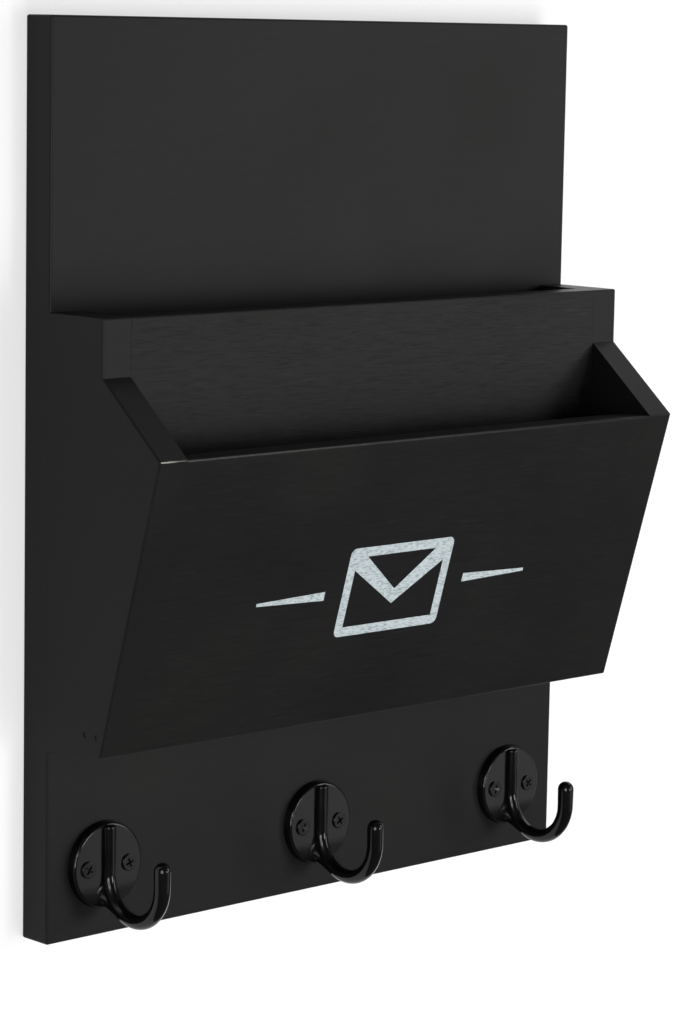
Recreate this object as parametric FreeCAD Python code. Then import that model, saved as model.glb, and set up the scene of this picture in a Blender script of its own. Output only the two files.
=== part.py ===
import FreeCAD, Part
import math
import os
from collections import namedtuple

# Wall mail organizer: a back board with a two-compartment pocket and three coat hooks.
# Millimetres. X runs to the right, Y into the wall, Z up.
# The origin lies on the wall face, midway between the two wall screws it hangs on.

Vector = FreeCAD.Vector
Rotation = FreeCAD.Rotation

# Back board
board_width = 316.0
board_height = 400.0
board_thickness = 17.5
board_ease = 1.1

# Pocket outline, as depth in front of the board and height above the board's bottom edge
neck_depth = 35.4
lip_depth = 72.8
toe_depth = 35.2
neck_top_height = 275.3
neck_foot_height = 250.2
lip_height = 218.8
toe_height = 88.4
toe_rise = 2.9

# Pocket boards
side_thickness = 15.0
panel_thickness = 15.0
divider_thickness = 12.0
divider_foot_clearance = 0.2
shelf_thickness = 12.0
pocket_ease = 0.9

# Cast hooks
hook_spacing = 127.0
hook_height = 31.7
disc_base_radius = 19.5
disc_face_radius = 18.9
disc_thickness = 4.0
disc_edge_radius = 0.9
rib_radius = 3.2
rib_end_inset = 0.9
rib_end_rounding = 0.9
arm_radius = 3.7
tip_radius = 3.8
bend_drop = 3.5
bend_radius = 18.2
tip_rise = 7.8
web_half_width = 2.7
web_reach = 10.5
web_seat = 1.0
web_toe_height = -18.3
web_overlap = 0.25
web_rounding = 0.9
flare_reach = 6.5
flare_spread = 4.2
flare_rise = 2.9
flare_drop = 13.0
flare_fall = 6.2
flare_end_half_height = 2.2
flare_end_half_width = 2.5
flare_shares = (-0.05, 0.0, 0.02, 0.07, 0.16, 0.32, 0.6, 1.0)
hook_screw_spacing = 22.8

# Screws and brads
hook_screw_head = 7.6
hook_screw_head_height = 1.0
hook_screw_head_rounding = 0.45
hook_screw_shank = 3.5
hook_screw_length = 15.0
hook_screw_cross = 4.3
hook_screw_drop = 0.4
hook_screw_turns = (35.0, 70.0, 25.0, 60.0, 10.0, 40.0)
plate_screw_head = 5.4
plate_screw_shank = 2.8
plate_screw_length = 12.0
plate_screw_cross = 3.2
board_screw_head = 7.6
board_screw_shank = 4.0
board_screw_cross = 4.6
side_screw_length = 40.0
shelf_screw_length = 30.0
cross_width = 1.0
cross_depth = 1.6
cross_taper = 0.4
point_length = 3.0
side_screw_inset = 30.0
shelf_screw_spacing = 120.0
brad_diameter = 1.6
brad_head_diameter = 2.6
brad_head_height = 0.9
brad_length = 32.0
brad_point = 1.8
brad_inset = 22.0
foot_brad_height = 9.0
foot_brad_depths = (4.6, 12.4)
foot_brad_set = 0.25
bore_clearance = 0.05
bore_overrun = 0.4

# Keyhole plates let into the back
hanging_spacing = 200.0
hanging_drop = 45.0
plate_length = 46.0
plate_width = 16.0
plate_thickness = 1.5
plate_clearance = 0.2
plate_screw_inset = 5.0
key_entry_diameter = 9.0
key_slot_width = 4.6
key_travel = 11.0
key_seat_above_centre = 6.0
head_pocket_width = 11.0
head_pocket_depth = 8.0

# Countersunk screws as head diameter, shank diameter, length and span of the cross recess
Screw = namedtuple("Screw", "head_diameter shank_diameter length cross_span")
plate_screw = Screw(plate_screw_head, plate_screw_shank, plate_screw_length, plate_screw_cross)
side_screw = Screw(board_screw_head, board_screw_shank, side_screw_length, board_screw_cross)
shelf_screw = Screw(board_screw_head, board_screw_shank, shelf_screw_length, board_screw_cross)

# Places that follow from the sizes above
half_width = board_width / 2
inner_half_width = half_width - side_thickness
board_top = hanging_drop
board_bottom = board_top - board_height
board_front = -board_thickness
panel_lean = (lip_depth - toe_depth) / (lip_height - toe_height)
panel_depth_thickness = panel_thickness * math.hypot(1, panel_lean)
heel_height = toe_height - toe_rise
bottom_rise = toe_rise / toe_depth
hook_centre_z = board_bottom + hook_height
hook_places = {"left": -hook_spacing, "middle": 0.0, "right": hook_spacing}
side_signs = {"left": -1, "right": 1}


def at(x, depth, height):
    """A point given by its depth in front of the board and height above the board's bottom."""
    return Vector(x, board_front - depth, board_bottom + height)


def panel_back_height(depth):
    """Height at which the panel's back face crosses a given depth."""
    return toe_height + (depth + panel_depth_thickness - toe_depth) / panel_lean


def panel_back_depth(height):
    """Depth of the panel's back face at a given height."""
    return toe_depth - panel_depth_thickness + (height - toe_height) * panel_lean


def divider_foot_height():
    """Height of the divider's square lower end, just clear of the panel's back."""
    return panel_back_height(neck_depth) + divider_foot_clearance


def bottom_height(depth):
    """Height of the pocket's underside at a given depth."""
    return heel_height + depth * bottom_rise


def slab(outline, x_low, x_high):
    """A flat board with its outline given as depths and heights."""
    points = [at(x_low, depth, height) for depth, height in outline]
    face = Part.Face(Part.makePolygon(points + points[:1]))
    return face.extrude(Vector(x_high - x_low, 0, 0))


def ease(shape, radius, chosen):
    """Round the edges whose middle point passes a test."""
    edges = [edge for edge in shape.Edges if chosen(edge.CenterOfMass, edge)]
    return shape.makeFillet(radius, edges)


def near(a, b):
    return abs(a - b) < 1e-3


def turned(profile):
    """A solid turned about the Z axis from radii and heights."""
    points = [Vector(radius, 0, height) for radius, height in profile]
    face = Part.Face(Part.makePolygon(points + points[:1]))
    return face.revolve(Vector(0, 0, 0), Vector(0, 0, 1), 360)


def aimed(shape, point, direction):
    """Place a shape drawn along +Z so that it starts at a point and runs along a direction."""
    placed = shape.copy()
    placed.Placement = FreeCAD.Placement(point, Rotation(Vector(0, 0, 1), direction))
    return placed


def with_cross(body, span, turn=0.0):
    """Cut a cross recess, turned by an angle, into a screw whose head face is at the origin."""
    half_span = span / 2
    for angle in (turn, turn + 90):
        outline = [Vector(-half_span, 0, -cross_depth), Vector(half_span, 0, -cross_depth),
                   Vector(half_span, 0, 0), Vector(half_span * cross_taper, 0, cross_depth),
                   Vector(-half_span * cross_taper, 0, cross_depth), Vector(-half_span, 0, 0)]
        arm = Part.Face(Part.makePolygon(outline + outline[:1])).extrude(Vector(0, cross_width, 0))
        arm.translate(Vector(0, -cross_width / 2, 0))
        arm.rotate(Vector(0, 0, 0), Vector(0, 0, 1), angle)
        body = body.cut(arm)
    return body


def screw_body(screw):
    """Countersunk cross-recess screw, head face at the origin and pointing along +Z."""
    head = screw.head_diameter / 2
    shank = screw.shank_diameter / 2
    body = turned([(0, 0), (head, 0), (shank, head - shank),
                   (shank, screw.length - point_length), (0, screw.length)])
    return with_cross(body, screw.cross_span)


def screw_bore(screw):
    """The countersunk hole that a screw fills, open above its head."""
    seat = screw.head_diameter / 2 + bore_clearance
    hole = screw.shank_diameter / 2 + bore_clearance
    deep = screw.length + bore_overrun
    return turned([(0, -deep), (seat, -deep), (seat, 0), (hole, seat - hole), (hole, deep), (0, deep)])


def pan_screw_body(turn):
    """A hook's low pan-head screw, head face at the origin and pointing along +Z."""
    shank = hook_screw_shank / 2
    seat = hook_screw_head_height
    head = Part.makeCylinder(hook_screw_head / 2, seat)

    def round_the_face(middle, edge):
        return near(middle.z, 0)

    head = ease(head, hook_screw_head_rounding, round_the_face)
    stem = turned([(0, 0), (shank, 0), (shank, seat + hook_screw_length - point_length),
                   (0, seat + hook_screw_length)])
    return with_cross(head.fuse(stem).removeSplitter(), hook_screw_cross, turn)


def pan_screw_bore():
    """The plain hole of a pan-head screw, from the plane of the head face at the origin along +Z."""
    hole = hook_screw_shank / 2 + bore_clearance
    deep = hook_screw_head_height + hook_screw_length + bore_overrun
    return turned([(0, 0), (hole, 0), (hole, deep), (0, deep)])


def brad_body():
    """Finishing brad, head face at the origin and pointing along +Z."""
    shank = brad_diameter / 2
    head = brad_head_diameter / 2
    return turned([(0, 0), (head, 0), (head, brad_head_height), (shank, brad_head_height),
                   (shank, brad_length - brad_point), (0, brad_length)])


def brad_bore():
    """The hole that a brad fills, open above its head."""
    shank = brad_diameter / 2 + bore_clearance
    head = brad_head_diameter / 2 + bore_clearance
    deep = brad_length + bore_overrun
    return turned([(0, -brad_length), (head, -brad_length), (head, brad_head_height + bore_clearance),
                   (shank, brad_head_height + bore_clearance), (shank, deep), (0, deep)])


def hook_screw_points(hook_x):
    """Head faces of a hook's two screws, whose heads stand on the disc's face."""
    y = board_front - disc_thickness - hook_screw_head_height
    z = hook_centre_z - hook_screw_drop
    half = hook_screw_spacing / 2
    return {"a": Vector(hook_x - half, y, z), "b": Vector(hook_x + half, y, z)}


def side_screw_points(sign):
    """Head faces of the screws that run through the board into one side's rear edge."""
    x = sign * (half_width - side_thickness / 2)
    upper = board_bottom + neck_top_height - side_screw_inset
    lower = board_bottom + heel_height + side_screw_inset
    return {"upper": Vector(x, 0, upper), "lower": Vector(x, 0, lower)}


def shelf_screw_points():
    """Head faces of the screws that run through the board into the shelf."""
    z = board_bottom + heel_height + shelf_thickness / 2
    half = shelf_screw_spacing / 2
    return {"left": Vector(-half, 0, z), "right": Vector(half, 0, z)}


def brad_points(sign):
    """Head faces of the brads driven through one side into the panel, divider and shelf."""
    x = sign * half_width
    set_x = x - sign * foot_brad_set
    foot = toe_height + foot_brad_height
    foot_front = toe_depth + foot_brad_height * panel_lean
    points = [at(set_x, foot_front - depth, foot) for depth in foot_brad_depths]
    high = lip_height - brad_inset
    points.append(at(x, panel_back_depth(high) + panel_depth_thickness / 2, high))
    divider_middle = neck_depth - divider_thickness / 2
    points.append(at(x, divider_middle, neck_top_height - brad_inset))
    points.append(at(x, divider_middle, divider_foot_height() + brad_inset))
    shelf_middle = panel_back_depth(toe_height) / 2
    points.append(at(x, shelf_middle, bottom_height(shelf_middle) + shelf_thickness / 2))
    return points


def plate_centre(sign):
    """Centre of one keyhole plate, on the board's back face."""
    return Vector(sign * hanging_spacing / 2, 0, -key_seat_above_centre)


def plate_screw_points(sign):
    """Head faces of one plate's screws."""
    reach = plate_length / 2 - plate_screw_inset
    centre = plate_centre(sign)
    return {"top": centre + Vector(0, 0, reach), "bottom": centre - Vector(0, 0, reach)}


def round_ended(width, low_z, high_z, depth, x):
    """An upright slot shape with round ends, from the wall face to a depth in front of it.
    The heights are those of the ends' centres."""
    radius = width / 2
    left = Vector(x - radius, 0, low_z)
    right = Vector(x + radius, 0, high_z)
    low_arc = Part.Arc(left, Vector(x, 0, low_z - radius), Vector(x + radius, 0, low_z))
    high_arc = Part.Arc(right, Vector(x, 0, high_z + radius), Vector(x - radius, 0, high_z))
    edges = [low_arc.toShape(), Part.makeLine(Vector(x + radius, 0, low_z), right),
             high_arc.toShape(), Part.makeLine(Vector(x - radius, 0, high_z), left)]
    return Part.Face(Part.Wire(edges)).extrude(Vector(0, -depth, 0))


def keyhole_plate(sign):
    """Steel hanger plate: round ends, a keyhole and two countersunk screw holes."""
    centre = plate_centre(sign)
    end = (plate_length - plate_width) / 2
    plate = round_ended(plate_width, centre.z - end, centre.z + end, plate_thickness, centre.x)
    entry = Part.makeCylinder(key_entry_diameter / 2, plate_thickness,
                              Vector(centre.x, 0, -key_travel), Vector(0, -1, 0))
    slot = round_ended(key_slot_width, -key_travel, 0, plate_thickness, centre.x)
    plate = plate.cut(entry.fuse(slot))
    for point in plate_screw_points(sign).values():
        plate = plate.cut(aimed(screw_bore(plate_screw), point, Vector(0, -1, 0)))
    return plate


def plate_recess(sign):
    """Shallow seat for a plate, and the deep pocket that the wall screw's head slides in."""
    centre = plate_centre(sign)
    end = (plate_length - plate_width) / 2
    seat = round_ended(plate_width + 2 * plate_clearance, centre.z - end, centre.z + end,
                       plate_thickness, centre.x)
    pocket = round_ended(head_pocket_width, -key_travel, 0, head_pocket_depth, centre.x)
    return seat.fuse(pocket)


def back_board():
    """The back board, with eased edges, plate recesses and every screw hole."""
    corner = Vector(-half_width, board_front, board_bottom)
    board = Part.makeBox(board_width, board_thickness, board_height, corner)
    board = board.makeFillet(board_ease, board.Edges)
    for sign in side_signs.values():
        board = board.cut(plate_recess(sign))
        for point in plate_screw_points(sign).values():
            board = board.cut(aimed(screw_bore(plate_screw), point, Vector(0, -1, 0)))
        for point in side_screw_points(sign).values():
            board = board.cut(aimed(screw_bore(side_screw), point, Vector(0, -1, 0)))
    for point in shelf_screw_points().values():
        board = board.cut(aimed(screw_bore(shelf_screw), point, Vector(0, -1, 0)))
    for hook_x in hook_places.values():
        for point in hook_screw_points(hook_x).values():
            board = board.cut(aimed(pan_screw_bore(), point, Vector(0, 1, 0)))
    return board


def side_piece(sign):
    """One side of the pocket, with its stepped and slanted front edge."""
    outline = [(0, neck_top_height), (neck_depth, neck_top_height), (neck_depth, neck_foot_height),
               (lip_depth, lip_height), (toe_depth, toe_height), (0, heel_height)]
    outer = sign * half_width
    inner = sign * inner_half_width
    side = slab(outline, min(outer, inner), max(outer, inner))
    corners = [at(0, *outline[1]), at(0, *outline[3]), at(0, *outline[4])]

    def eased(middle, edge):
        along_x = near(edge.BoundBox.XLength, side_thickness)
        at_corner = any(near(middle.y, corner.y) and near(middle.z, corner.z) for corner in corners)
        on_outer = near(middle.x, outer) and not near(middle.y, board_front)
        return on_outer or (along_x and at_corner)

    side = ease(side, pocket_ease, eased)
    for point in side_screw_points(sign).values():
        side = side.cut(aimed(screw_bore(side_screw), point, Vector(0, -1, 0)))
    return drilled_for_brads(side, sign)


def drilled_for_brads(piece, *signs):
    """Cut the brad holes of one side or both into a piece."""
    for sign in signs:
        for point in brad_points(sign):
            piece = piece.cut(aimed(brad_bore(), point, Vector(-sign, 0, 0)))
    return piece


def front_panel():
    """The slanted front, flush with the sides' front edges and cut level along its top."""
    top_back = lip_depth - panel_depth_thickness
    back_foot = foot_of_panel_back()
    outline = [(lip_depth, lip_height), (toe_depth, toe_height), back_foot, (top_back, lip_height)]
    panel = slab(outline, -inner_half_width, inner_half_width)
    front_edges = [at(0, *outline[0]), at(0, *outline[1])]

    def eased(middle, edge):
        return any(near(middle.y, line.y) and near(middle.z, line.z) for line in front_edges)

    panel = ease(panel, pocket_ease, eased)
    return drilled_for_brads(panel, -1, 1)


def foot_of_panel_back():
    """Where the panel's back face meets the pocket's sloping underside."""
    start = panel_back_depth(toe_height)
    rise = bottom_height(start) - toe_height
    depth = start + rise * panel_lean / (1 - bottom_rise * panel_lean)
    return depth, bottom_height(depth)


def divider_panel():
    """The upright divider between the compartments, its lower front corner close to the panel."""
    rear = neck_depth - divider_thickness
    foot = divider_foot_height()
    outline = [(neck_depth, neck_top_height), (rear, neck_top_height), (rear, foot), (neck_depth, foot)]
    divider = slab(outline, -inner_half_width, inner_half_width)
    front_top = at(0, neck_depth, neck_top_height)

    def eased(middle, edge):
        return near(middle.y, front_top.y) and near(middle.z, front_top.z)

    divider = ease(divider, pocket_ease, eased)
    return drilled_for_brads(divider, -1, 1)


def bottom_shelf():
    """The floor of the rear compartment, between the board and the panel's back."""
    foot_depth, foot_height = foot_of_panel_back()
    run = 1 - bottom_rise * panel_lean
    top_depth = foot_depth + shelf_thickness * panel_lean / run
    top_height = bottom_height(top_depth) + shelf_thickness
    outline = [(0, heel_height), (foot_depth, foot_height), (top_depth, top_height),
               (0, heel_height + shelf_thickness)]
    shelf = slab(outline, -inner_half_width, inner_half_width)
    for point in shelf_screw_points().values():
        shelf = shelf.cut(aimed(screw_bore(shelf_screw), point, Vector(0, -1, 0)))
    return drilled_for_brads(shelf, -1, 1)


def hook_disc():
    """The hook's round base: a slight draft and a rounded front edge, drawn along +Z."""
    round_start = disc_thickness - disc_edge_radius
    draft = (disc_base_radius - disc_face_radius) / disc_thickness
    edge_radius_at_start = disc_base_radius - draft * round_start
    half = math.sqrt(0.5)
    middle = Vector(disc_face_radius - disc_edge_radius * (1 - half), 0,
                    disc_thickness - disc_edge_radius * (1 - half))
    inner = Vector(disc_face_radius - disc_edge_radius, 0, disc_thickness)
    outer = Vector(edge_radius_at_start, 0, round_start)
    edges = [Part.makeLine(Vector(0, 0, 0), Vector(disc_base_radius, 0, 0)),
             Part.makeLine(Vector(disc_base_radius, 0, 0), outer),
             Part.Arc(outer, middle, inner).toShape(),
             Part.makeLine(inner, Vector(0, 0, disc_thickness)),
             Part.makeLine(Vector(0, 0, disc_thickness), Vector(0, 0, 0))]
    face = Part.Face(Part.Wire(edges))
    return face.revolve(Vector(0, 0, 0), Vector(0, 0, 1), 360)


def hook_arm():
    """The bar that runs down the disc, bends out in a half circle and rises to a round tip.
    Drawn with the disc's centre at the origin, Y up and Z out of the board."""
    out = disc_thickness
    rib_top = Vector(0, disc_face_radius - rib_end_inset, out)
    bend_start = Vector(0, -bend_drop, out)
    bend_low = Vector(0, -bend_drop - bend_radius, out + bend_radius)
    bend_end = Vector(0, -bend_drop, out + 2 * bend_radius)
    tip = bend_end + Vector(0, tip_rise, 0)
    path = Part.Wire([Part.makeLine(rib_top, bend_start),
                      Part.Arc(bend_start, bend_low, bend_end).toShape(),
                      Part.makeLine(bend_end, tip)])
    sections = [(rib_radius, rib_top, Vector(0, -1, 0)), (rib_radius, bend_start, Vector(0, -1, 0)),
                (rib_radius, bend_low, Vector(0, 0, 1)), (arm_radius, bend_end, Vector(0, 1, 0)),
                (tip_radius, tip, Vector(0, 1, 0))]
    sweep = Part.BRepOffsetAPI.MakePipeShell(path)
    for radius, centre, heading in sections:
        sweep.add(Part.Wire(Part.makeCircle(radius, centre, heading)))
    sweep.build()
    sweep.makeSolid()

    def at_rib_top(middle, edge):
        return near(middle.y, rib_top.y)

    arm = ease(sweep.shape(), rib_end_rounding, at_rib_top)
    return arm.fuse(Part.makeSphere(tip_radius, tip))


def bend_height(z, radius):
    """Height of a curve of the given radius about the bend's centre, on its lower side at z."""
    offset = disc_thickness + bend_radius - z
    return -bend_drop - math.sqrt(max(0.0, radius ** 2 - offset ** 2))


def hook_web():
    """The web under the bar, from the disc's rim straight to the bend's outer curve."""
    start_z = disc_thickness - web_seat
    end_z = disc_thickness + web_reach
    end_angle = math.acos((bend_radius - web_reach) / bend_radius)
    middle_z = disc_thickness + bend_radius * (1 - math.cos(end_angle / 2))
    top = Vector(0, -bend_drop, disc_thickness)
    rear = Vector(0, -bend_drop, start_z)
    toe = Vector(0, web_toe_height, start_z)
    low_end = Vector(0, bend_height(end_z, bend_radius + rib_radius) + web_overlap, end_z)
    high_end = Vector(0, bend_height(end_z, bend_radius), end_z)
    middle = Vector(0, bend_height(middle_z, bend_radius), middle_z)
    outline = Part.Wire([Part.makeLine(top, rear), Part.makeLine(rear, toe), Part.makeLine(toe, low_end),
                         Part.makeLine(low_end, high_end), Part.Arc(high_end, middle, top).toShape()])
    outline.translate(Vector(-web_half_width, 0, 0))
    web = Part.Face(outline).extrude(Vector(2 * web_half_width, 0, 0))
    slope_middle = (toe + low_end) / 2

    def along_toe(middle_point, edge):
        return near(middle_point.y, slope_middle.y) and near(middle_point.z, slope_middle.z)

    return ease(web, web_half_width * web_rounding, along_toe)


def hook_flare():
    """The hollow flare that spreads the web onto the lower part of the disc, like a trumpet's mouth.
    Its sections grow by a quarter circle's law, so that it runs out flat on the disc's face."""
    sections = []
    for share in flare_shares:
        spread = 1 - math.sqrt(1 - (1 - max(0.0, share)) ** 2)
        half_width = flare_end_half_width + flare_spread * spread
        half_height = flare_end_half_height + flare_rise * spread
        ellipse = Part.Ellipse(Vector(0, 0, 0), half_width, half_height).toShape()
        fall = flare_drop + flare_fall * share
        ellipse.translate(Vector(0, -fall, disc_thickness + flare_reach * share))
        sections.append(Part.Wire(ellipse))
    return Part.makeLoft(sections, True, False, False, 3)


def cast_hook(hook_x):
    """One cast hook: disc, bar, tip and flared root in one piece, with two screw holes."""
    hook = hook_disc().fuse([hook_arm(), hook_web(), hook_flare()]).removeSplitter()
    hook.rotate(Vector(0, 0, 0), Vector(1, 0, 0), 90)
    hook.translate(Vector(hook_x, board_front, hook_centre_z))
    for point in hook_screw_points(hook_x).values():
        hook = hook.cut(aimed(pan_screw_bore(), point, Vector(0, 1, 0)))
    return hook


def all_pieces():
    """Every piece of the organizer by its node name."""
    pieces = {"back_board": back_board(), "front_panel": front_panel(),
              "divider_panel": divider_panel(), "bottom_shelf": bottom_shelf()}
    forward = Vector(0, -1, 0)
    for name, sign in side_signs.items():
        pieces[name + "_side"] = side_piece(sign)
        pieces["keyhole_plate_" + name] = keyhole_plate(sign)
        brads = [aimed(brad_body(), point, Vector(-sign, 0, 0)) for point in brad_points(sign)]
        pieces["brads_" + name] = Part.makeCompound(brads)
        for place, point in side_screw_points(sign).items():
            pieces["side_screw_%s_%s" % (name, place)] = aimed(screw_body(side_screw), point, forward)
        for place, point in plate_screw_points(sign).items():
            pieces["plate_screw_%s_%s" % (name, place)] = aimed(screw_body(plate_screw), point, forward)
    for name, point in shelf_screw_points().items():
        pieces["shelf_screw_" + name] = aimed(screw_body(shelf_screw), point, forward)
    turns = iter(hook_screw_turns)
    for name, hook_x in hook_places.items():
        pieces["hook_" + name] = cast_hook(hook_x)
        for letter, point in hook_screw_points(hook_x).items():
            screw = pan_screw_body(next(turns))
            pieces["hook_screw_%s_%s" % (name, letter)] = aimed(screw, point, Vector(0, 1, 0))
    return pieces


os.makedirs("parts", exist_ok=True)
for node, piece in all_pieces().items():
    piece.exportStep("parts/%s.step" % node)
    print("%-26s solids %d volume %.1f mm3" % (node, len(piece.Solids), piece.Volume))
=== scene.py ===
import math
import bmesh
import bpy
from mathutils import Matrix, Vector


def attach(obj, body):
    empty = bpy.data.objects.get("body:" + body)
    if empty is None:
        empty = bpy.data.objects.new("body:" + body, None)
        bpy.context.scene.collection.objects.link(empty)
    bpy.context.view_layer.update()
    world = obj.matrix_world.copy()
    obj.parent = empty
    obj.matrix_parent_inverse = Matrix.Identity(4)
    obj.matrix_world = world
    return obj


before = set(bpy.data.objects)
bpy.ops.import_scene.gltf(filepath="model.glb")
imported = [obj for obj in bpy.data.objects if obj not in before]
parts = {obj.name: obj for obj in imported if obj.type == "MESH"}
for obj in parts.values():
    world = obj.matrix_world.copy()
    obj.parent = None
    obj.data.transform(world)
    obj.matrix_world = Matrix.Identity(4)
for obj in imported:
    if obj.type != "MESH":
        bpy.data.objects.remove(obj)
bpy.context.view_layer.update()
print("frame loaded,", len(parts), "nodes")

mm = 0.001


def linear(hexColour):
    channels = [int(hexColour[i:i + 2], 16) / 255 for i in (1, 3, 5)]
    return tuple(c / 12.92 if c <= 0.04045 else ((c + 0.055) / 1.055) ** 2.4 for c in channels) + (1.0,)


def addNode(tree, kind, inputs=None, **settings):
    node = tree.nodes.new("ShaderNode" + kind)
    for name, value in settings.items():
        setattr(node, name, value)
    for name, value in (inputs or {}).items():
        if isinstance(value, bpy.types.NodeSocket):
            tree.links.new(value, node.inputs[name])
        else:
            node.inputs[name].default_value = value
    return node


def mapSpan(tree, value, span, target=(0.0, 1.0)):  # carries a value from one span to another
    ends = {"From Min": span[0], "From Max": span[1], "To Min": target[0], "To Max": target[1]}
    return addNode(tree, "MapRange", dict(ends, Value=value)).outputs[0]


def newMaterial(name):
    material = bpy.data.materials.new(name)
    material.use_nodes = True
    tree = material.node_tree
    tree.nodes.clear()
    surface = addNode(tree, "BsdfPrincipled")
    output = addNode(tree, "OutputMaterial", {"Surface": surface.outputs[0]})
    place = addNode(tree, "TexCoord").outputs["Object"]
    return material, tree, surface, output, place


def lineGap(tree, place, line):  # distance from a line that runs along X
    axes = addNode(tree, "SeparateXYZ", {0: place})
    dy = addNode(tree, "Math", {0: axes.outputs[1], 1: line["y"]}, operation="SUBTRACT")
    dz = addNode(tree, "Math", {0: axes.outputs[2], 1: line["z"]}, operation="SUBTRACT")
    offset = addNode(tree, "CombineXYZ", {0: 0.0, 1: dy.outputs[0], 2: dz.outputs[0]})
    return addNode(tree, "VectorMath", {0: offset.outputs[0]}, operation="LENGTH").outputs["Value"]


# Camera: fitted to the corners of the boards and the outlines of the hooks
camera = {
    "place": (-1.05141, -1.14312, 0.04098),
    "right": (0.72844, -0.68489, 0.01752),
    "up": (0.08361, 0.11426, 0.98993),
    "forward": (0.67999, 0.71964, -0.14049),
    "lens": 119.56,  # on the 36 mm of the frame's long side
}

eye = bpy.data.objects.new("camera", bpy.data.cameras.new("camera"))
bpy.context.scene.collection.objects.link(eye)
eye.data.lens = camera["lens"]
eye.data.sensor_width = 36.0
turn = Matrix((camera["right"], camera["up"], [-c for c in camera["forward"]])).transposed()
eye.matrix_world = Matrix.Translation(camera["place"]) @ turn.to_4x4()
bpy.context.scene.camera = eye
bpy.context.scene.view_settings.view_transform = "Standard"
print("camera set")


# Painted boards: softwood, sanded, sprayed with satin black lacquer. The eye gets a near-black skin
# with a soft sheen, in which the fine lines of the grain still stand.
lacquer = {
    "black": "#171718",
    "worn": "#1b1b1a",
    "sheen": (0.41, 0.48),  # roughness, from patch to patch
    "shine": 0.12,  # specular level: a thin flat-satin film
    "patch": 70.0,  # mm across of the sprayed film's uneven patches
    "grainWidth": 0.85,  # mm between grain lines
    "grainLength": 17.0,  # mm that a line runs
    "jointAndGrooveShade": "#050505",  # painted shade in the bottom of a grain line, and a joint's dark hairline
    "grooveShadeSpan": (0.50, 0.36),  # of the grain's noise, from the brim of a line to its bottom, where the painted shade is full
    "waveLength": 45.0,  # mm from wave to wave of the grain
    "waveHeight": 2.2,  # mm
    "fleck": 0.6,  # mm high of a light fleck in the grain
    "fleckLength": 12.0,
    "fleckRate": 900.0,  # flecks a metre along Y
    "fleckTone": "#6b6a66",
    "fleckSpan": (0.58, 0.76),  # of the flecks' noise, from none to a full fleck
    "peel": 1.6,  # mm from dimple to dimple of the sprayed film
    "peelDepth": 0.012,
}
noiseSpan = (0.3, 0.7)  # nearly all values of a noise lie in it
raggedSpan = (0.35, 0.65)  # the same for a ragged outline


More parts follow.
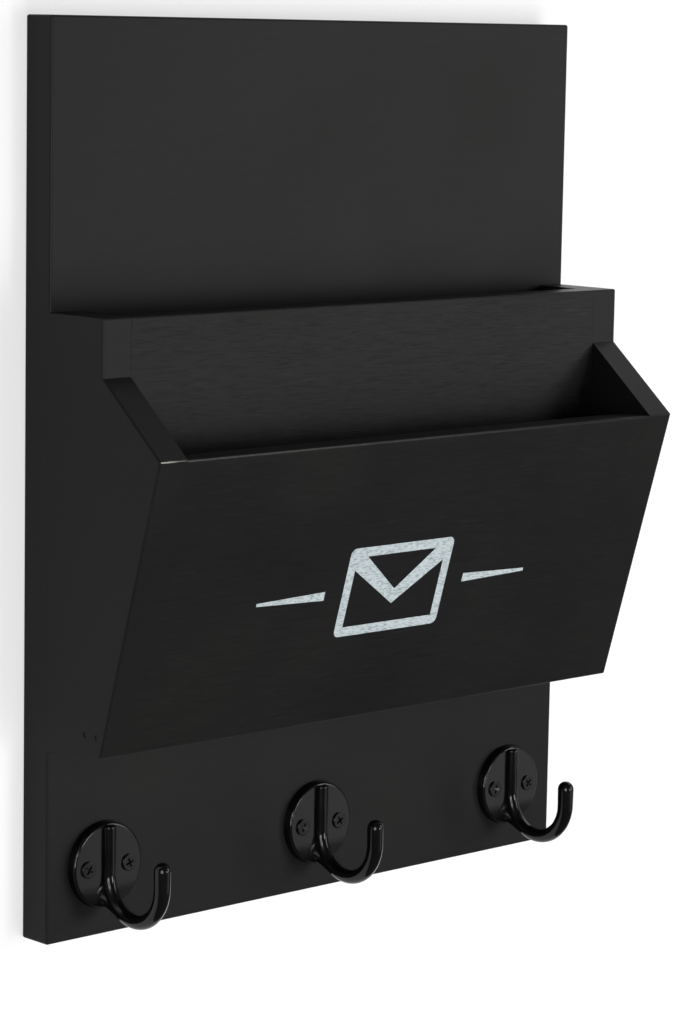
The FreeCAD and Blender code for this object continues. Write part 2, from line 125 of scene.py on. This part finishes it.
def sprayedLacquer(name, grainDepth, grainScale, grooveShade, streaks, rub=None, nick=None, joint=None):
    material, tree, surface, output, place = newMaterial(name)
    wave = addNode(tree, "TexNoise", {"Vector": place, "Scale": 1 / (lacquer["waveLength"] * mm), "Detail": 1.0})
    lift = addNode(tree, "VectorMath", {0: wave.outputs["Color"], 1: (0.0, 0.0, lacquer["waveHeight"] * mm)},
                   operation="MULTIPLY")
    swayed = addNode(tree, "VectorMath", {0: place, 1: lift.outputs[0]}, operation="ADD")
    across = 1 / (lacquer["grainWidth"] * grainScale * mm)
    along = 1 / (lacquer["grainLength"] * grainScale * mm)
    lines = addNode(tree, "Mapping", {"Vector": swayed.outputs[0], "Scale": (along, across, across)})
    grain = addNode(tree, "TexNoise", {"Vector": lines.outputs[0], "Scale": 1.0, "Detail": 2.5, "Roughness": 0.6})
    fleckScale = (1 / (lacquer["fleckLength"] * mm), lacquer["fleckRate"], 1 / (lacquer["fleck"] * mm))
    fleckLines = addNode(tree, "Mapping", {"Vector": swayed.outputs[0], "Location": (3.1, 0.0, 7.7),
                                           "Scale": fleckScale})
    flecks = addNode(tree, "TexNoise", {"Vector": fleckLines.outputs[0], "Scale": 1.0, "Detail": 3.0})
    fleckShare = mapSpan(tree, flecks.outputs[0], lacquer["fleckSpan"], (0.0, streaks))
    patches = addNode(tree, "TexNoise", {"Vector": place, "Scale": 1 / (lacquer["patch"] * mm), "Detail": 2.0})
    tone = mapSpan(tree, patches.outputs[0], noiseSpan)
    film = addNode(tree, "Mix", {0: tone, 6: linear(lacquer["black"]), 7: linear(lacquer["worn"])},
                   data_type="RGBA")
    # painted shade: the bottoms of the grain lines are darkened in place of the shade of their relief
    sunk = mapSpan(tree, grain.outputs[0], lacquer["grooveShadeSpan"], (0.0, grooveShade))
    grooveShaded = addNode(tree, "Mix", {0: sunk, 6: film.outputs[2], 7: linear(lacquer["jointAndGrooveShade"])}, data_type="RGBA")
    flecked = addNode(tree, "Mix", {0: fleckShare, 6: grooveShaded.outputs[2], 7: linear(lacquer["fleckTone"])},
                      data_type="RGBA")
    colour = flecked.outputs[2]
    axes = addNode(tree, "SeparateXYZ", {0: place})
    if rub:  # painted highlight: a pale ragged line along an edge, fading along X
        ragged = addNode(tree, "TexNoise", {"Vector": place, "Scale": 1 / (rub["tatter"] * mm), "Detail": 3.0})
        reach = mapSpan(tree, ragged.outputs[0], raggedSpan, (rub["thin"] * mm, rub["thick"] * mm))
        inside = addNode(tree, "Math", {0: lineGap(tree, place, rub), 1: reach}, operation="LESS_THAN")
        fade = mapSpan(tree, axes.outputs[0], (rub["from"], rub["to"]), (rub["share"], 0.0))
        share = addNode(tree, "Math", {0: inside.outputs[0], 1: fade}, operation="MULTIPLY")
        litEdge = addNode(tree, "Mix", {0: share.outputs[0], 6: colour, 7: linear(rub["edgeColour"])}, data_type="RGBA")
        colour = litEdge.outputs[2]
    if nick:  # chip in an edge
        chipGap = addNode(tree, "VectorMath", {0: place, 1: nick["at"]}, operation="DISTANCE")
        chipNoise = addNode(tree, "TexNoise", {"Vector": place, "Scale": 1 / (nick["tatter"] * mm), "Detail": 2.0})
        chipReach = mapSpan(tree, chipNoise.outputs[0], raggedSpan, (nick["gap"] * mm, nick["reach"] * mm))
        chip = addNode(tree, "Math", {0: chipGap.outputs["Value"], 1: chipReach}, operation="LESS_THAN")
        chipped = addNode(tree, "Mix", {0: chip.outputs[0], 6: colour, 7: linear(nick["edgeColour"])}, data_type="RGBA")
        colour = chipped.outputs[2]
    if joint:  # hairline where two painted pieces meet flush, at both ends along X
        end = addNode(tree, "Math", {0: axes.outputs[0]}, operation="ABSOLUTE")
        ragged = addNode(tree, "TexNoise", {"Vector": place, "Scale": 1 / (joint["tatter"] * mm), "Detail": 3.0})
        start = mapSpan(tree, ragged.outputs[0], raggedSpan,
                        [(joint["end"] - joint[width]) * mm for width in ("thin", "thick")])
        crack = addNode(tree, "Math", {0: end.outputs[0], 1: start}, operation="GREATER_THAN")
        split = addNode(tree, "Mix", {0: crack.outputs[0], 6: colour, 7: linear(lacquer["jointAndGrooveShade"])},
                        data_type="RGBA")
        colour = split.outputs[2]
    dimples = addNode(tree, "TexNoise", {"Vector": place, "Scale": 1 / (lacquer["peel"] * mm), "Detail": 2.0})
    peel = addNode(tree, "Bump", {"Height": dimples.outputs[0], "Distance": lacquer["peelDepth"] * mm,
                                  "Strength": 0.6})
    relief = addNode(tree, "Bump", {"Height": grain.outputs[0], "Distance": grainDepth * mm, "Strength": 1.0,
                                    "Normal": peel.outputs[0]})
    rough = mapSpan(tree, patches.outputs[0], noiseSpan, lacquer["sheen"])
    tree.links.new(colour, surface.inputs["Base Color"])
    tree.links.new(rough, surface.inputs["Roughness"])
    tree.links.new(relief.outputs[0], surface.inputs["Normal"])
    surface.inputs["IOR"].default_value = 1.5
    surface.inputs["Specular IOR Level"].default_value = lacquer["shine"]
    return material


# Painted highlight: a pale ragged line along the pocket's front top edge, nearly white at the left corner and
# faint, fading to the right. The left side's front edge has a dark chip below it. Thin, thick, tatter, reach and
# gap are in mm.
lip = {"y": -90.3 * mm, "z": -136.2 * mm, "edgeColour": "#c9c6be", "tatter": 4.0}
# painted highlight at the left corner of the lip, nearly white
lipHighlight = dict(lip, **{"from": -157 * mm, "to": -142 * mm, "share": 0.75, "thin": 0.26, "thick": 0.45})
# painted highlight along the whole top front edge of the panel, faint and fading to the right
panelEdgeHighlight = dict(lip, **{"from": -150 * mm, "to": 90 * mm, "share": 0.13, "thin": 0.74, "thick": 0.82})
edgeNick = {"at": (-157.6 * mm, -86.5 * mm, -152.4 * mm), "reach": 1.9, "gap": -1.0, "tatter": 1.1,
            "edgeColour": "#0a0a0a"}
dividerJoint = {"end": 143.0, "thin": 0.15, "thick": 0.6, "tatter": 5.0}
boardLacquer = sprayedLacquer("satin_black_lacquer_on_the_board", 0.010, 1.0, 0.15, 0.02)
sideLacquer = sprayedLacquer("satin_black_lacquer_on_the_sides", 0.008, 1.0, 0.15, 0.03, rub=lipHighlight, nick=edgeNick)
dividerLacquer = sprayedLacquer("satin_black_lacquer_over_open_grain", 0.06, 0.62, 0.75, 0.05,
                                 joint=dividerJoint)
panelLacquer = sprayedLacquer("satin_black_lacquer_on_the_front", 0.022, 1.0, 0.3, 0.05, rub=panelEdgeHighlight)
print("lacquers made")


# Hooks: zinc castings, stove enamelled. The eye gets a deep gloss black with sharp lights on round edges.
enamel = {"black": "#0b0b0c", "thick": "#111112", "gloss": (0.10, 0.16), "shine": 0.28,
          "pool": 9.0, "peel": 1.4, "peelDepth": 0.006}  # pool and peel in mm
# In the hollow of the root, a line along X, the coat stays thin and dull. Core and edge are in mm from the line.
hollow = {"y": -22.8 * mm, "z": -339.2 * mm, "core": 4.0, "edge": 8.0, "dull": 0.34, "shine": 0.1}


def stoveEnamel():
    material, tree, surface, output, place = newMaterial("stove_enamelled_zinc_casting")
    pools = addNode(tree, "TexNoise", {"Vector": place, "Scale": 1 / (enamel["pool"] * mm), "Detail": 2.0})
    gloss = mapSpan(tree, pools.outputs[0], noiseSpan, enamel["gloss"])
    shade = addNode(tree, "Mix", {0: pools.outputs[0], 6: linear(enamel["black"]), 7: linear(enamel["thick"])},
                    data_type="RGBA")
    skin = addNode(tree, "TexNoise", {"Vector": place, "Scale": 1 / (enamel["peel"] * mm), "Detail": 1.5})
    peel = addNode(tree, "Bump", {"Height": skin.outputs[0], "Distance": enamel["peelDepth"] * mm,
                                  "Strength": 0.5})
    tree.links.new(shade.outputs[2], surface.inputs["Base Color"])
    depth = mapSpan(tree, lineGap(tree, place, hollow), (hollow["edge"] * mm, hollow["core"] * mm))
    rough = addNode(tree, "Mix", {0: depth, 2: gloss, 3: hollow["dull"]}, data_type="FLOAT")
    shine = addNode(tree, "Mix", {0: depth, 2: enamel["shine"], 3: hollow["shine"]}, data_type="FLOAT")
    tree.links.new(rough.outputs[0], surface.inputs["Roughness"])
    tree.links.new(shine.outputs[0], surface.inputs["Specular IOR Level"])
    tree.links.new(peel.outputs[0], surface.inputs["Normal"])
    surface.inputs["IOR"].default_value = 1.5
    return material


# Hook screws: steel, black oxide and oil. The eye gets a dark dull metal, brighter on the recess's edges.
oxide = {"black": "#0c0c0d", "worn": "#131314", "dull": (0.20, 0.34), "shine": 0.25,
         "mottle": 0.9}  # mottle in mm


def blackOxide():
    material, tree, surface, output, place = newMaterial("black_oxide_steel_screw")
    mottle = addNode(tree, "TexNoise", {"Vector": place, "Scale": 1 / (oxide["mottle"] * mm), "Detail": 3.0})
    shade = addNode(tree, "Mix", {0: mottle.outputs[0], 6: linear(oxide["black"]), 7: linear(oxide["worn"])},
                    data_type="RGBA")
    dull = mapSpan(tree, mottle.outputs[0], noiseSpan, oxide["dull"])
    tree.links.new(shade.outputs[2], surface.inputs["Base Color"])
    tree.links.new(dull, surface.inputs["Roughness"])
    surface.inputs["IOR"].default_value = 1.5
    surface.inputs["Specular IOR Level"].default_value = oxide["shine"]
    return material


# Hidden screws and hanger plates: steel, barrel plated with bright zinc. The eye gets a cool grey metal
# with fine rubbing marks all one way.
zinc = {"grey": "#b8bcc0", "blue": "#a4abb3", "rub": 0.12, "run": 6.0, "rough": (0.26, 0.44)}  # rub and run in mm


def barrelZinc():
    material, tree, surface, output, place = newMaterial("zinc_plated_steel")
    along = addNode(tree, "Mapping", {"Vector": place, "Scale": (1 / (zinc["rub"] * mm), 1 / (zinc["rub"] * mm),
                                                                 1 / (zinc["run"] * mm))})
    marks = addNode(tree, "TexNoise", {"Vector": along.outputs[0], "Scale": 1.0, "Detail": 3.0})
    tint = addNode(tree, "Mix", {0: marks.outputs[0], 6: linear(zinc["grey"]), 7: linear(zinc["blue"])},
                   data_type="RGBA")
    rough = mapSpan(tree, marks.outputs[0], noiseSpan, zinc["rough"])
    tree.links.new(tint.outputs[2], surface.inputs["Base Color"])
    tree.links.new(rough, surface.inputs["Roughness"])
    surface.inputs["Metallic"].default_value = 1.0
    return material


enamelled = stoveEnamel()
oxidised = blackOxide()
plated = barrelZinc()
finishes = {
    "back_board": boardLacquer, "left_side": sideLacquer, "right_side": sideLacquer,
    "divider_panel": dividerLacquer, "front_panel": panelLacquer, "bottom_shelf": boardLacquer,
    "brads_": sideLacquer, "hook_screw_": oxidised, "hook_": enamelled, "side_screw_": plated,
    "shelf_screw_": plated, "keyhole_plate_": plated, "plate_screw_": plated,
}
for name, part in parts.items():
    start = max((key for key in finishes if name.startswith(key)), key=len)
    part.data.materials.clear()
    part.data.materials.append(finishes[start])
print("finishes laid on the parts")


# Filler where the sides meet the board: putty drawn along the joint, sanded flush and sprayed with the rest, so
# that the eye gets one unbroken painted face
seam = {"outer": 157.98, "board": -17.5, "ease": 1.1, "foot": -269.4, "head": -79.8}  # mm


def fillSeam(side, name):
    outer, front, ease = side * seam["outer"] * mm, seam["board"] * mm, seam["ease"] * mm
    section = [(outer, front + ease), (outer, front), (outer - side * ease, front)]
    mesh = bmesh.new()
    foot, head = [[mesh.verts.new((x, y, seam[end] * mm)) for x, y in section] for end in ("foot", "head")]
    for i in range(3):
        mesh.faces.new([foot[i], foot[i - 2], head[i - 2], head[i]])
    mesh.faces.new(foot)
    mesh.faces.new(head)
    bmesh.ops.recalc_face_normals(mesh, faces=mesh.faces)
    data = bpy.data.meshes.new(name)
    mesh.to_mesh(data)
    mesh.free()
    filler = bpy.data.objects.new(name, data)
    bpy.context.scene.collection.objects.link(filler)
    filler.data.materials.append(sideLacquer)
    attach(filler, "root")


fillSeam(-1, "seam_filler_left")
fillSeam(1, "seam_filler_right")
print("seams filled")


# Mark on the panel: a plain envelope between two rules, screen printed in pale silver ink. The eye gets a
# thin matt coat with the panel's grain showing through as pinholes.
mark = {
    "ink": "#c2cccf", "thin": "#8f9b9f", "thickness": 0.06, "sink": 0.02,  # mm above and below the paint
    "pinhole": 0.6, "run": 2.2,  # mm across a pinhole and along the grain
    "pinholeSpan": (0.46, 0.66), "rough": (0.5, 0.7),
    "foot": (0.0, -52.7 * mm, -266.6 * mm),  # middle of the panel's lower front edge
    "lip": (0.0, -90.3 * mm, -136.2 * mm),
    "centre": (-3.0, 63.5), "width": 64.0, "height": 43.0, "stroke": 4.6,  # mm, along and up the panel
    "corner": 3.2, "flapTip": -8.0, "flapBand": 6.2, "flapPoint": 1.15,  # the point's share of the band
    "ruleLength": 40.0, "ruleGap": 11.0, "ruleStroke": 4.2, "ruleTaper": 0.35,
}


def screenInk():
    material, tree, surface, output, place = newMaterial("screen_printed_silver_ink")
    along = addNode(tree, "Mapping", {"Vector": place, "Scale": (1 / (mark["run"] * mm), 1 / (mark["pinhole"] * mm),
                                                                 1 / (mark["pinhole"] * mm))})
    pinholes = addNode(tree, "TexNoise", {"Vector": along.outputs[0], "Scale": 1.0, "Detail": 3.0})
    cover = mapSpan(tree, pinholes.outputs[0], mark["pinholeSpan"])
    coat = addNode(tree, "Mix", {0: cover, 6: linear(mark["ink"]), 7: linear(mark["thin"])}, data_type="RGBA")
    rough = mapSpan(tree, pinholes.outputs[0], (0.0, 1.0), mark["rough"])
    tree.links.new(coat.outputs[2], surface.inputs["Base Color"])
    tree.links.new(rough, surface.inputs["Roughness"])
    surface.inputs["IOR"].default_value = 1.5
    return material


def cornerArc(x, y, radius, start):  # half of a rounded corner of the envelope, from start degrees
    middle = Vector((x - math.copysign(radius, x), y - math.copysign(radius, y)))
    angles = [math.radians(start + step) for step in (0, 15, 30, 45)]
    return [tuple(middle + radius * Vector((math.cos(angle), math.sin(angle)))) for angle in angles]


def envelopeOutlines():
    w, h, s, r = mark["width"] / 2, mark["height"] / 2, mark["stroke"], mark["corner"]
    iw, ih, tip, flap = w - s, h - s, mark["flapTip"], mark["flapBand"]
    notch = tip + flap * mark["flapPoint"]
    return [
        cornerArc(w, h, r, 45) + cornerArc(-w, h, r, 90) + [(-iw, ih), (-iw + flap, ih), (iw - flap, ih), (iw, ih)],
        cornerArc(-w, h, r, 135) + cornerArc(-w, -h, r, 180) + [(-iw, -ih), (-iw, ih - flap), (-iw, ih)],
        cornerArc(-w, -h, r, 225) + cornerArc(w, -h, r, 270) + [(iw, -ih), (-iw, -ih)],
        cornerArc(w, -h, r, 315) + cornerArc(w, h, r, 0) + [(iw, ih), (iw, ih - flap), (iw, -ih)],
        [(-iw, ih), (-iw, ih - flap), (0, tip), (iw, ih - flap), (iw, ih), (iw - flap, ih), (0, notch),
         (-iw + flap, ih)],
    ]


def ruleOutline(side):  # a rule beside the envelope, tapering outwards
    inner = mark["width"] / 2 + mark["ruleGap"]
    outer, r = inner + mark["ruleLength"], mark["ruleStroke"] / 2
    end = r * mark["ruleTaper"]
    return [(side * inner, -r), (side * outer, -end), (side * outer, end), (side * inner, r)]


def printMark():
    foot = Vector(mark["foot"])
    up = (Vector(mark["lip"]) - foot).normalized()
    out = Vector((0, -up.z, up.y))
    cx, cy = mark["centre"]
    mesh = bmesh.new()
    sunk = foot - out * mark["sink"] * mm
    for outline in envelopeOutlines() + [ruleOutline(-1), ruleOutline(1)]:
        mesh.faces.new([mesh.verts.new(sunk + Vector(((cx + x) * mm, 0, 0)) + up * (cy + y) * mm)
                        for x, y in outline])
    bmesh.ops.remove_doubles(mesh, verts=mesh.verts, dist=0.01 * mm)
    raised = bmesh.ops.extrude_face_region(mesh, geom=mesh.faces[:])["geom"]
    tops = [v for v in raised if isinstance(v, bmesh.types.BMVert)]
    bmesh.ops.translate(mesh, verts=tops, vec=out * (mark["thickness"] + mark["sink"]) * mm)
    bmesh.ops.recalc_face_normals(mesh, faces=mesh.faces)
    data = bpy.data.meshes.new("printed_mark")
    mesh.to_mesh(data)
    mesh.free()
    printed = bpy.data.objects.new("printed_mark", data)
    bpy.context.scene.collection.objects.link(printed)
    printed.data.materials.append(screenInk())
    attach(printed, "root")


printMark()
print("mark printed")


# Stage: a matt white wall behind the board, seen from its front only
wall = {"size": 8.0, "behind": 0.4, "white": "#a8a8a8", "lift": 0.64}  # behind in mm


def paintedWall():
    material, tree, surface, output, place = newMaterial("matt_white_wall_paint")
    surface.inputs["Base Color"].default_value = linear(wall["white"])
    surface.inputs["Roughness"].default_value = 1.0
    surface.inputs["Specular IOR Level"].default_value = 0.0
    ray = addNode(tree, "LightPath")
    seen = addNode(tree, "Math", {0: ray.outputs["Is Camera Ray"], 1: ray.outputs["Is Glossy Ray"]},
                   operation="MAXIMUM")
    shown = addNode(tree, "Math", {0: seen.outputs[0], 1: ray.outputs["Is Transmission Ray"]}, operation="MAXIMUM")
    lifted = addNode(tree, "Math", {0: shown.outputs[0], 1: wall["lift"]}, operation="MULTIPLY")
    glow = addNode(tree, "Emission", {"Strength": lifted.outputs[0]})
    both = addNode(tree, "AddShader", {0: surface.outputs[0], 1: glow.outputs[0]})
    clear = addNode(tree, "BsdfTransparent")
    side = addNode(tree, "NewGeometry").outputs["Backfacing"]
    passed = addNode(tree, "Math", {0: side, 1: ray.outputs["Is Shadow Ray"]}, operation="MAXIMUM")
    sided = addNode(tree, "MixShader", {0: passed.outputs[0], 1: both.outputs[0], 2: clear.outputs[0]})
    tree.links.new(sided.outputs[0], output.inputs["Surface"])
    return material


half = wall["size"] / 2
data = bpy.data.meshes.new("wall")
data.from_pydata([(-half, wall["behind"] * mm, -half), (half, wall["behind"] * mm, -half),
                  (half, wall["behind"] * mm, half), (-half, wall["behind"] * mm, half)], [], [(0, 1, 2, 3)])
backdrop = bpy.data.objects.new("wall", data)
bpy.context.scene.collection.objects.link(backdrop)
backdrop.data.materials.append(paintedWall())
print("wall stands")


# Light: a broad fill from low at the front and a soft lamp beside the camera, both kept out of reflections, and
# a window beside the camera that only reflections show. A small lamp at the front, a tall one and a dim broad one
# at the right, a soft one overhead, a small card at the right side, and one behind for the views from there.
lamps = {
    "fill": {"place": (0.174, -2.026, -1.085), "size": (1.6, 1.0), "power": 29.0, "mirrored": False},
    "front": {"place": (0.749, -2.099, -0.347), "size": (0.4, 0.6), "power": 11.0, "mirrored": True},
    "right": {"place": (1.6, -1.53, 0.2), "size": (0.6, 1.25), "power": 12.0, "mirrored": True},
    "bounce": {"place": (1.475, -1.594, -0.805), "size": (0.8, 0.8), "power": 1.8, "mirrored": True},
    "near": {"place": (-1.608, -1.54, -0.06), "size": (0.5, 0.5), "power": 7.4, "mirrored": False},
    "window": {"place": (-1.608, -1.54, -0.06), "size": (1.0, 1.0), "power": 38.0, "mirrored": True, "matt": False},
    "top": {"place": (-1.029, -0.130, 1.787), "size": (1.0, 1.0), "power": 1.8, "mirrored": True},
    "card": {"place": (0.75, -0.15, 0.42), "size": (0.35, 0.35), "power": 0.4, "mirrored": True},
    "rear": {"place": (1.0, 1.5, 0.75), "size": (1.2, 1.2), "power": 22.0, "mirrored": True},
}
aim = Vector((0.0, -0.04, -0.155))
for name, lamp in lamps.items():
    light = bpy.data.lights.new(name, "AREA")
    light.shape = "RECTANGLE"
    light.size, light.size_y = lamp["size"]
    light.energy = lamp["power"]
    holder = bpy.data.objects.new(name, light)
    bpy.context.scene.collection.objects.link(holder)
    holder.location = lamp["place"]
    holder.visible_glossy = lamp["mirrored"]
    holder.visible_diffuse = lamp.get("matt", True)
    holder.rotation_euler = (aim - Vector(lamp["place"])).to_track_quat("-Z", "Y").to_euler()

# Room: almost dark, so that the lamps shape the black paint; pale where the camera looks past the wall
room = {"dim": 0.03, "mirrored": 0.05, "seen": 0.9}
world = bpy.data.worlds.new("room")
bpy.context.scene.world = world
world.use_nodes = True
air = world.node_tree
ray = addNode(air, "LightPath")
bent = addNode(air, "Math", {0: ray.outputs["Is Glossy Ray"], 1: ray.outputs["Is Transmission Ray"]},
               operation="MAXIMUM")
mirrored = addNode(air, "Math", {0: bent.outputs[0], 1: room["mirrored"], 2: room["dim"]}, operation="MULTIPLY_ADD")
level = addNode(air, "Math", {0: ray.outputs["Is Camera Ray"], 1: room["seen"], 2: mirrored.outputs[0]},
                operation="MULTIPLY_ADD")
air.nodes["Background"].inputs["Color"].default_value = linear("#ffffff")
air.links.new(level.outputs[0], air.nodes["Background"].inputs["Strength"])
print("lamps lit")
